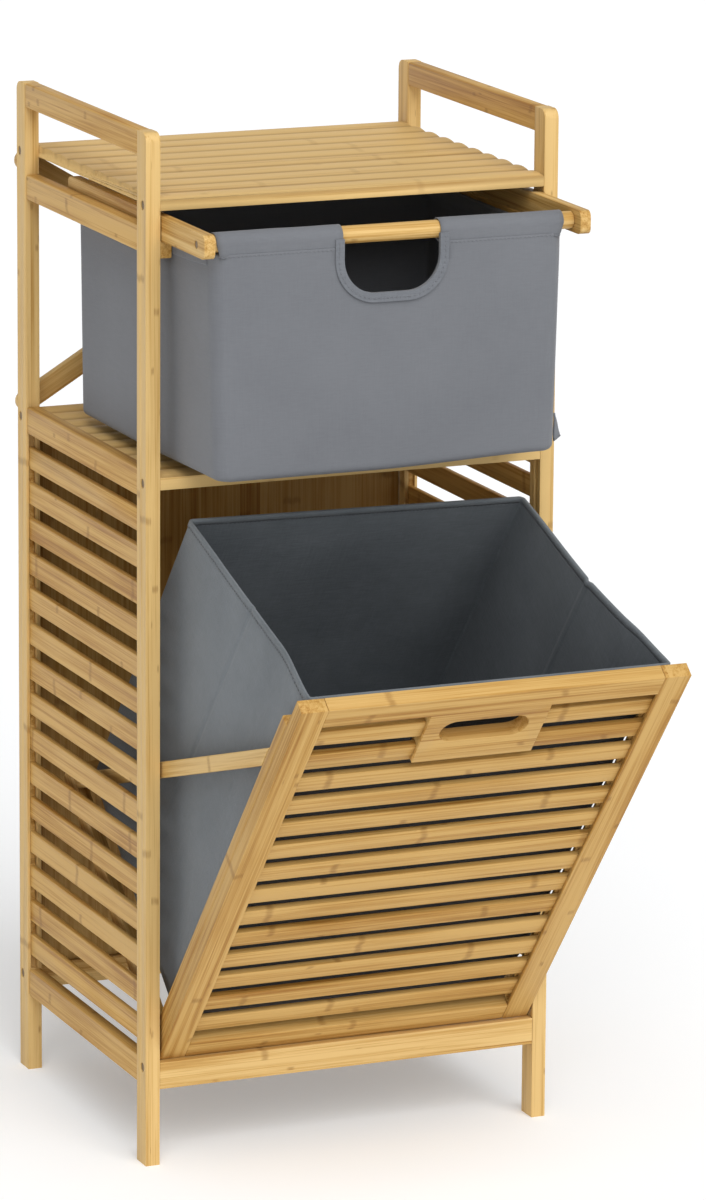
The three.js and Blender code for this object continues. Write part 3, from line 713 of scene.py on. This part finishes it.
def slacken_drawer_bag(bm):
    """Draws the sides in, lifts the front right corner and lets every wall and the floor sag."""
    for v in bm.verts:
        p = v.co
        height = (p.z - DRAWER_FLOOR) / (DRAWER_TOP - DRAWER_FLOOR)
        wide = drawer_bag_half_width(p.y, p.z)
        p.x = p.x * wide / DRAWER_HALF + SLIPPED * (1 - towards_rear(p.y))
        slack = math.sin(math.pi * share(height))
        across = flat_topped(p.x / wide, 6)
        if p.y < DRAWER_FRONT + RIGHT_LIFT_DEPTH and height < 0.5:
            p.z += RIGHT_LIFT * smoothstep(*RIGHT_LIFT_SPAN, p.x) * (1 - height / 0.5)
        if p.y < DRAWER_FRONT + 2 * MM:
            p.y += unevenness(p, 9, 1, 0.9, 1.3) * slack * across
        if p.y > DRAWER_REAR - 2 * MM:
            p.y -= unevenness(p, 9, 2, 2.0, 1.8) * slack * across
        deep = flat_topped((p.y - DRAWER_MIDDLE) / (DRAWER_REAR - DRAWER_MIDDLE), 4)
        away = smoothstep(DRAWER_FRONT + CORNER_RADIUS, DRAWER_FRONT + SIDES_LOOSEN, p.y)
        away *= min(1, 2 * deep)
        if abs(p.x) > wide - 5 * MM and away > 0:
            p.x -= math.copysign(unevenness(p, 8, 3, 0.8, 1.6) * slack * away, p.x)
            p.z -= RIM_SAG * smoothstep(*RIM_BAND, height) * deep
        if height < FLOOR_BAND:
            p.z += unevenness(p, 10, 4, 1.2, 1.6) * deep * across


def in_cut_out(face):
    spot = face.calc_center_median()
    return spot.y < DRAWER_FRONT + 4 * MM and cut_distance(spot.x, spot.z) < CUT_ALLOWANCE


def sew_drawer_bag(mat, hem_mat, thread):
    bm = open_drawer_box()
    slacken_drawer_bag(bm)
    take_off(bm, in_cut_out)
    tidy(bm)
    bag = link_mesh("drawer_bag_cloth", bm)
    thicken(bag, DRAWER_WALL)
    finish_piece(bag, "drawer", [mat])
    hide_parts("drawer_bag")

    sew_sleeves(mat, thread)
    bind_cut_out(hem_mat, thread)
    hem_drawer_sides(hem_mat)
    corner_tab(hem_mat)


def sleeve(name, dowel, ends, facing, mat):
    """A cloth loop round a dowel whose two layers meet in a seam below it. facing is -1 at the
    front."""
    bm = bmesh.new()
    bmesh.ops.create_circle(bm, segments=36, radius=SLEEVE_RADIUS)
    bmesh.ops.rotate(bm, verts=bm.verts, matrix=Matrix.Rotation(math.radians(90), 3, "Y"))
    for v in bm.verts:
        if v.co.z < 0:
            drop = -v.co.z / SLEEVE_RADIUS
            v.co.z = -drop * SEAM_DROP
            v.co.y = v.co.y * (1 - drop ** 6) + facing * SLEEVE_SEAM * drop ** 3
            v.co.y = max(-SLEEVE_RADIUS, min(SLEEVE_RADIUS, v.co.y))
    bmesh.ops.translate(bm, verts=bm.verts, vec=(ends[0], dowel.y, dowel.z))
    made = bmesh.ops.extrude_edge_only(bm, edges=bm.edges)
    bmesh.ops.translate(bm, verts=only(bmesh.types.BMVert, made["geom"]),
                        vec=(ends[1] - ends[0], 0, 0))
    slice_up(bm, 0, steps(*ends, SLEEVE_CUT))
    outer_end = max(ends, key=abs)
    for v in bm.verts:
        drop = max(0, dowel.z - v.co.z) / SEAM_DROP
        near_end = smoothstep(SLEEVE_DRAW_REACH, 0, abs(outer_end - v.co.x))
        v.co.x -= math.copysign(SLEEVE_DRAW_IN * drop * near_end, outer_end)
        v.co.y -= facing * unevenness(v.co, 34, 5, 0, 0.5) * drop
        v.co.z += unevenness(v.co, 26, 6, 0, 0.35)
    tidy(bm)
    piece = link_mesh(name, bm)
    thicken(piece, SLEEVE_WALL)
    finish_piece(piece, "drawer", [mat])


def sew_sleeves(mat, thread):
    inner, outer = SLEEVE_INNER_END, SLEEVE_OUTER_END
    sleeve("left_front_sleeve", FRONT_DOWEL, (SLIPPED - outer, SLIPPED - inner), -1, mat)
    sleeve("right_front_sleeve", FRONT_DOWEL, (SLIPPED + inner, SLIPPED + outer), -1, mat)
    sleeve("rear_sleeve", REAR_DOWEL, (-outer, outer), 1, mat)
    seam_y = FRONT_DOWEL.y - 10.0 * MM
    seam_z = FRONT_DOWEL.z - SEAM_DROP + 1.2 * MM
    spots = [(SLIPPED + side * x * MM, seam_y, seam_z) for side in (-1, 1)
             for x in range(58, 165, STITCH_PITCH)]
    sew_row("sleeve_stitches", "drawer", thread, spots, [(1, 0, 0)] * len(spots))


def binding_tape():
    """A folded tape round the U-shaped cut-out, up to the underside of the dowel."""
    top = BINDING_TOP
    above = top + 40 * MM
    low = CUT_LOW - BINDING
    bm = upright_grid(1, 1)
    bmesh.ops.scale(bm, vec=(CUT_HALF + BINDING, 1, (above - low) / 2), verts=bm.verts)
    bmesh.ops.translate(bm, vec=(SLIPPED, DRAWER_FRONT - 1.3 * MM, (above + low) / 2),
                        verts=bm.verts)
    feet = [v for v in bm.verts if v.co.z < top]
    bmesh.ops.bevel(bm, geom=feet, offset=CUT_RADIUS + BINDING, segments=14, affect="VERTICES",
                    profile=0.5, material=-1)
    inner = bm.faces[:]
    bmesh.ops.inset_region(bm, faces=inner, thickness=BINDING, use_even_offset=True,
                           use_boundary=True)
    bmesh.ops.delete(bm, geom=inner, context="FACES")
    made = bmesh.ops.extrude_face_region(bm, geom=bm.faces[:])
    bmesh.ops.translate(bm, verts=only(bmesh.types.BMVert, made["geom"]),
                        vec=(0, BINDING_THICKNESS, 0))
    cut = bmesh.ops.bisect_plane(bm, geom=everything(bm), dist=SAME_POINT, plane_co=(0, 0, top),
                                 plane_no=(0, 0, 1), clear_outer=True)
    bmesh.ops.holes_fill(bm, edges=only(bmesh.types.BMEdge, cut["geom_cut"]))
    slice_up(bm, 2, steps(low, top, 6 * MM))
    tidy(bm)
    return bm


def bind_cut_out(mat, thread):
    tape = link_mesh("cut_out_binding", binding_tape())
    fold = soften(tape, 1.1 * MM)
    fold.angle_limit = math.radians(40)
    fold.harden_normals = True
    finish_piece(tape, "drawer", [mat])

    spots, ways = [], []
    radius = CUT_RADIUS + BINDING_SEAM
    y = DRAWER_FRONT - 1.5 * MM
    rise = int((BINDING_TOP - CUT_STRAIGHT) / MM)
    for side in (-1, 1):
        for z in range(3, rise, STITCH_PITCH):
            x = SLIPPED + side * (CUT_HALF + BINDING_SEAM)
            spots.append((x, y, CUT_STRAIGHT + z * MM))
            ways.append((0, 0, 1))
        for k in range(12):
            a = math.radians(4 + 7.5 * k)
            x = SLIPPED + side * (CUT_HALF - CUT_RADIUS + radius * math.cos(a))
            spots.append((x, y, CUT_STRAIGHT - radius * math.sin(a)))
            ways.append((side * math.sin(a), 0, math.cos(a)))
    for x in range(-16, 17, STITCH_PITCH):
        spots.append((SLIPPED + x * MM, y, CUT_STRAIGHT - radius))
        ways.append((1, 0, 0))
    sew_row("binding_stitches", "drawer", thread, spots, ways,
            BINDING_STITCH)


def hem_drawer_sides(mat):
    """A folded hem along the sagging top edge of each side."""
    for side, name in ((-1, "left"), (1, "right")):
        x = side * SIDE_HEM_X * MM
        half = SIDE_HEM_HALF * MM
        low = (x - half, DRAWER_FRONT + CORNER_RADIUS, DRAWER_TOP - SIDE_HEM_DEPTH)
        high = (x + half, DRAWER_REAR - CORNER_RADIUS, DRAWER_TOP + SIDE_HEM_RISE)
        bm = box_mesh(low, high)
        slice_up(bm, 1, steps(low[1], high[1], DEPTH_CUT))
        for v in bm.verts:
            deep = flat_topped((v.co.y - DRAWER_MIDDLE) / (DRAWER_REAR - DRAWER_MIDDLE), 4)
            v.co.z -= RIM_SAG * deep
            v.co.x += side * (drawer_bag_half_width(v.co.y, DRAWER_TOP) - 170.6 * MM)
            v.co.x += SLIPPED * (1 - towards_rear(v.co.y))
        tidy(bm)
        hem = link_mesh(f"{name}_drawer_hem", bm)
        soften(hem, 1.0 * MM)
        finish_piece(hem, "drawer", [mat])


def corner_tab(mat):
    """The tucked seam end that stands out at the lower right corner."""
    bm = upright_grid(6, 8)
    for v in bm.verts:
        reach, rise = (v.co.x + 1) / 2, (v.co.z + 1) / 2
        v.co = Vector((TAB_REACH * reach * (1 - 0.75 * rise),
                       TAB_FORWARD * reach + TAB_WAVE * math.sin(6 * rise),
                       TAB_HEIGHT * (rise - 0.5) * (1 - 0.25 * reach))) * MM
    bmesh.ops.translate(bm, verts=bm.verts, vec=TAB_PLACE)
    tidy(bm)
    tab = link_mesh("right_corner_tab", bm)
    thicken(tab, TAB_WALL, offset=0)
    finish_piece(tab, "drawer", [mat])


# Hamper bag: x runs across, n back from the door's face and s up along the door.
HAMPER_HALF = 165 * MM
HAMPER_FLOOR = 24.5 * MM
HAMPER_FRONT = 28 * MM
HAMPER_BACK = 305 * MM
HAMPER_CENTRE = 166 * MM
DOOR_LENGTH = 526 * MM
RIM_FRONT = DOOR_LENGTH + 2.2 * MM
RIM_BACK = DOOR_LENGTH - 124 * MM
RIM_BEGINS = 15 * MM
RIM_TILT = 4 * MM
LEFT_SAG, RIGHT_SAG = 3 * MM, 5 * MM
FRONT_FLARE = 6 * MM
FRONT_LEAN = 12 * MM
FLARE_BAND = (0.02, 0.1)
LEAN_BAND = (492 * MM, 512 * MM)
FRONT_REACH = 70 * MM
FRONT_SLACK_TOP = 485 * MM
SIDE_STARTS = HAMPER_HALF - 12 * MM
CREASE = 161 * MM
NOTCH_DEPTH, NOTCH_WIDTH = 1.0 * MM, 3.5 * MM
TENT_DEPTH, TENT_REACH, TENT_BAND = 1.6, 135 * MM, (0.35, 1.0)
GROOVE_DEPTH, GROOVE_WIDTH, GROOVE_BAND = 1.3, 2.6 * MM, (0.25, 0.5)
HAMPER_CUT = 11 * MM
HAMPER_ROWS = 48
HAMPER_WALL = 2.0 * MM
HEM_WALL = 2.8 * MM
HEM_SWELL = 0.7 * MM
HAMPER_CORNER = 4 * MM
HEM_DEPTH = 8 * MM
HEM_SHARE = HEM_DEPTH / (RIM_FRONT - HAMPER_FLOOR)
PAINTED_SHADOW_HEIGHT = 0.93
CREASE_CUTS = [CREASE + d * MM for d in (-6, -4, -2, 0, 2, 4, 6)]


def on_hamper(x, n, s):
    """A place on the tilted hamper, in the cabinet's own coordinates."""
    n, s = n - PIVOT_BEHIND_DOOR, s - PIVOT_ABOVE_EDGE
    return Vector((x, PIVOT.y + n * math.cos(TILT) - s * math.sin(TILT),
                   PIVOT.z + n * math.sin(TILT) + s * math.cos(TILT)))


def rim_height(x, n, side):
    """The rim falls from the door to the back and is higher on the left. side is 0 at the front
    and back, where it neither sags nor dips at the crease."""
    depth = share((n - RIM_BEGINS) / (HAMPER_BACK - RIM_BEGINS))
    height = RIM_FRONT + (RIM_BACK - RIM_FRONT) * depth - RIM_TILT * depth * x / HAMPER_HALF
    if not side:
        return height
    sag = RIGHT_SAG if side > 0 else LEFT_SAG
    notch = NOTCH_DEPTH * math.exp(-((n - CREASE) / NOTCH_WIDTH) ** 2)
    return height - sag * math.sin(math.pi * depth) ** 2 - notch


def shape_hamper_cloth(x, n, height):
    """Where a point of the flat-sided bag ends up. height is 0 at the floor and 1 at the rim."""
    side = math.copysign(1, x) if abs(x) > SIDE_STARTS else 0
    s = HAMPER_FLOOR + (rim_height(x, n, side) - HAMPER_FLOOR) * height
    frontness = 1 - smoothstep(0, 1, (n - HAMPER_FRONT) / FRONT_REACH) if n > HAMPER_FRONT else 1
    n -= FRONT_LEAN * frontness * smoothstep(*LEAN_BAND, s)
    slack = math.sin(math.pi * share(height) ** 0.8)
    if side:
        tent = max(0, 1 - abs(n - CREASE) / TENT_REACH) * smoothstep(*TENT_BAND, height)
        groove = math.exp(-((n - CREASE) / GROOVE_WIDTH) ** 2) * smoothstep(*GROOVE_BAND, height)
        inward = (TENT_DEPTH * tent + GROOVE_DEPTH * groove) * MM
        inward += unevenness(Vector((x, n, s)), 9, 7, 0, 1.5) * slack * (1 - frontness)
        x += side * (FRONT_FLARE * frontness * smoothstep(*FLARE_BAND, height) - inward)
    deep = flat_topped(x / HAMPER_HALF, 6)
    if n > HAMPER_BACK - 3 * MM:
        n += unevenness(Vector((x, n, s)), 7, 8, -3.5, 3.0) * slack * deep
    if n < HAMPER_FRONT + 3 * MM and s < FRONT_SLACK_TOP:
        n += unevenness(Vector((x, n, s)), 7, 9, 1.5 * deep, 1.0) * slack
    return x, n, s


def hamper_tube(height_steps, swell, corner):
    """The bag's four sides and floor as a flat-sided box, open at the rim. Its x and y are x and
    n, and its z runs from 0 at the floor to 1 at the rim."""
    bm = box_mesh((-HAMPER_HALF - swell, HAMPER_FRONT - swell, 0),
                  (HAMPER_HALF + swell, HAMPER_BACK + swell, 1))
    take_off(bm, lambda face: face.normal.z > 0.5)
    round_edges(bm, edges_along(bm, 2), corner, 4)
    slice_up(bm, 0, steps(-HAMPER_HALF, HAMPER_HALF, HAMPER_CUT))
    slice_up(bm, 1, steps(HAMPER_FRONT, CREASE_CUTS[0], DEPTH_CUT) + CREASE_CUTS +
             steps(CREASE_CUTS[-1], HAMPER_BACK, DEPTH_CUT))
    slice_up(bm, 2, height_steps)
    return bm


def hang_hamper_floor(v):
    x, n, _ = v.co
    sag = max(0, (1 - (x / HAMPER_HALF) ** 4) * (1 - ((n - HAMPER_CENTRE) / (140 * MM)) ** 4))
    return on_hamper(x, n, HAMPER_FLOOR + unevenness(v.co, 12, 10, -4, 2) * sag)


def sew_hamper_bag(outside, inside, painted_shadow_cloth, hem_mat, thread):
    bm = hamper_tube([k / HAMPER_ROWS for k in range(1, HAMPER_ROWS)], 0, HAMPER_CORNER)
    # The bag's front below the rim takes a near-black cloth: painted shadow where it shows between
    # the door's slats.
    for face in bm.faces:
        if face.normal.y < -0.5 and face.calc_center_median().z < PAINTED_SHADOW_HEIGHT:
            face.material_index = 2
    for v in bm.verts:
        if v.co.z < SAME_POINT:
            v.co = hang_hamper_floor(v)
        else:
            v.co = on_hamper(*shape_hamper_cloth(*v.co))
    tidy(bm)
    bag = link_mesh("hamper_bag_cloth", bm)
    thicken(bag, HAMPER_WALL, inner_slot=1)
    finish_piece(bag, "hamper", [outside, inside, painted_shadow_cloth, inside])
    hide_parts("hamper_bag")
    hem_hamper_rim(hem_mat)
    stitch_hamper_hem(thread)


def hem_hamper_rim(mat):
    bm = hamper_tube([1 - HEM_SHARE, 1 - HEM_SHARE / 2], HEM_SWELL, HAMPER_CORNER + HEM_SWELL)
    below = [v for v in bm.verts if v.co.z < 1 - HEM_SHARE - 1e-4]
    bmesh.ops.delete(bm, geom=below, context="VERTS")
    for v in bm.verts:
        fold = 0.5 * MM if v.co.z > 0.999 else 0
        x, n, s = shape_hamper_cloth(*v.co)
        v.co = on_hamper(x, n, s + fold)
    tidy(bm)
    hem = link_mesh("hamper_bag_hem", bm)
    thicken(hem, HEM_WALL)
    finish_piece(hem, "hamper", [mat])


def stitch_hamper_hem(thread):
    """Stitches along the lower edge of the hem, on both sides and across the back."""
    spots, ways = [], []
    low = 1 - 0.82 * HEM_SHARE

    def beside(side, n):
        x, n, s = shape_hamper_cloth(side * HAMPER_HALF, n, low)
        return on_hamper(x + side * 1.0 * MM, n, s)

    for side in (-1, 1):
        for n in range(34, 300, STITCH_PITCH):
            spots.append(beside(side, n * MM))
            ways.append(beside(side, (n + 1) * MM) - spots[-1])
    for x in range(-156, 157, STITCH_PITCH):
        x, n, s = shape_hamper_cloth(x * MM, HAMPER_BACK, low)
        spots.append(on_hamper(x, n - 3.2 * MM, s))
        ways.append((1, 0, 0))
    sew_row("hamper_hem_stitches", "hamper", thread, spots, ways)


# ---------------------------------------------------------------- screws
RUNNER_SCREW = 3.4 * MM
HAMPER_SCREW = 3.2 * MM
REAR_BRACE_SCREW = 3.6 * MM
REAR_BRACE_INSET = 9.5 * MM
# Where the hamper's side screws sit: name, then n and s in mm.
HAMPER_SCREWS = [("upper_side_bar", 20, 470), ("lower_side_bar", 20, 40),
                 ("brace_front", 37, 417), ("brace_rear", 283, 45)]


# Each step of a head's domed top, as shares of its radius: how far in, and how far up.
HEAD_STEPS = ((0.14, 0.16), (0.36, 0.08), (0.05, -0.3))
HEAD_SINK = 0.35


def screw_head(name, place, way, radius, body):
    """A low domed head with a round recess, facing along way."""
    bm = bmesh.new()
    bmesh.ops.create_circle(bm, segments=18, radius=radius, cap_ends=True)
    face = bm.faces[:]
    for inset, rise in HEAD_STEPS:
        bmesh.ops.inset_region(bm, faces=face, thickness=radius * inset, depth=radius * rise)
    rim = [edge for edge in bm.edges if edge.is_boundary]
    walls = bmesh.ops.extrude_edge_only(bm, edges=rim)
    bmesh.ops.translate(bm, verts=only(bmesh.types.BMVert, walls["geom"]),
                        vec=(0, 0, -radius * HEAD_SINK))
    bmesh.ops.holes_fill(bm, edges=[edge for edge in bm.edges if edge.is_boundary])
    turn = Vector(way).to_track_quat("Z", "Y").to_matrix().to_4x4()
    bmesh.ops.transform(bm, matrix=Matrix.Translation(place) @ turn, verts=bm.verts)
    tidy(bm)
    finish_piece(link_mesh(f"{name}_screw_head", bm, smooth=False), body, [STEEL])


def outer_face(name, side):
    low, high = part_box(name)
    return low.x if side < 0 else high.x


def drive_screws():
    for side, name in ((-1, "left"), (1, "right")):
        runner_face = outer_face(f"{name}_runner", side)
        screw_head(f"{name}_rear_runner", (runner_face, REAR_DOWEL.y, REAR_DOWEL.z), (side, 0, 0),
                   RUNNER_SCREW, "drawer")
        bar_face = outer_face(f"{name}_hamper_side_bar", side)
        for label, n, s in HAMPER_SCREWS:
            screw_head(f"{name}_{label}", on_hamper(bar_face, n * MM, s * MM), (side, 0, 0),
                       HAMPER_SCREW, "hamper")
        for brace, sign in (("rising", 1), ("falling", -1)):
            low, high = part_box(f"{brace}_brace_bar")
            x = side * (high.x - REAR_BRACE_INSET)
            end = high.z if side * sign > 0 else low.z
            z = end - side * sign * REAR_BRACE_INSET
            screw_head(f"{name}_{brace}_brace", (x, high.y, z), (0, 1, 0), REAR_BRACE_SCREW,
                       "frame")


# ---------------------------------------------------------------- making
add_camera()
add_floor()
light_studio()
finish_frame()
DRAWER_CLOTH = cloth("drawer_cloth", (0.132, 0.138, 0.152), (0.168, 0.175, 0.190), 0.7 * MM,
                     relief=0.2)
DRAWER_HEM = cloth("drawer_hem_tape", (0.112, 0.120, 0.136), (0.185, 0.195, 0.212), 0.6 * MM,
                   relief=0.3)
DRAWER_THREAD = cloth("drawer_thread", (0.12, 0.125, 0.14), (0.2, 0.205, 0.22), 0.4 * MM)
HAMPER_OUTSIDE = cloth("hamper_cloth_outside", (0.110, 0.126, 0.140), (0.187, 0.208, 0.227),
                       0.9 * MM, **hamper)
HAMPER_INSIDE = cloth("hamper_cloth_inside", (0.085, 0.100, 0.113), (0.18, 0.20, 0.218),
                      0.9 * MM, **hamper)
# Painted shadow: a near-black copy of the hamper cloth for the bag's front, seen between the door's
# slats.
HAMPER_PAINTED_SHADOW_CLOTH = cloth("hamper_cloth_painted_shadow", (0.02, 0.021, 0.023),
                           (0.04, 0.042, 0.046), 0.9 * MM, **hamper)
HAMPER_HEM = cloth("hamper_hem_tape", (0.095, 0.11, 0.122), (0.175, 0.192, 0.206), 0.7 * MM,
                   **hamper)
HAMPER_THREAD = cloth("hamper_thread", (0.07, 0.08, 0.09), (0.12, 0.13, 0.14), 0.4 * MM)
sew_drawer_bag(DRAWER_CLOTH, DRAWER_HEM, DRAWER_THREAD)
sew_hamper_bag(HAMPER_OUTSIDE, HAMPER_INSIDE, HAMPER_PAINTED_SHADOW_CLOTH, HAMPER_HEM, HAMPER_THREAD)
drive_screws()

bpy.context.view_layer.update()
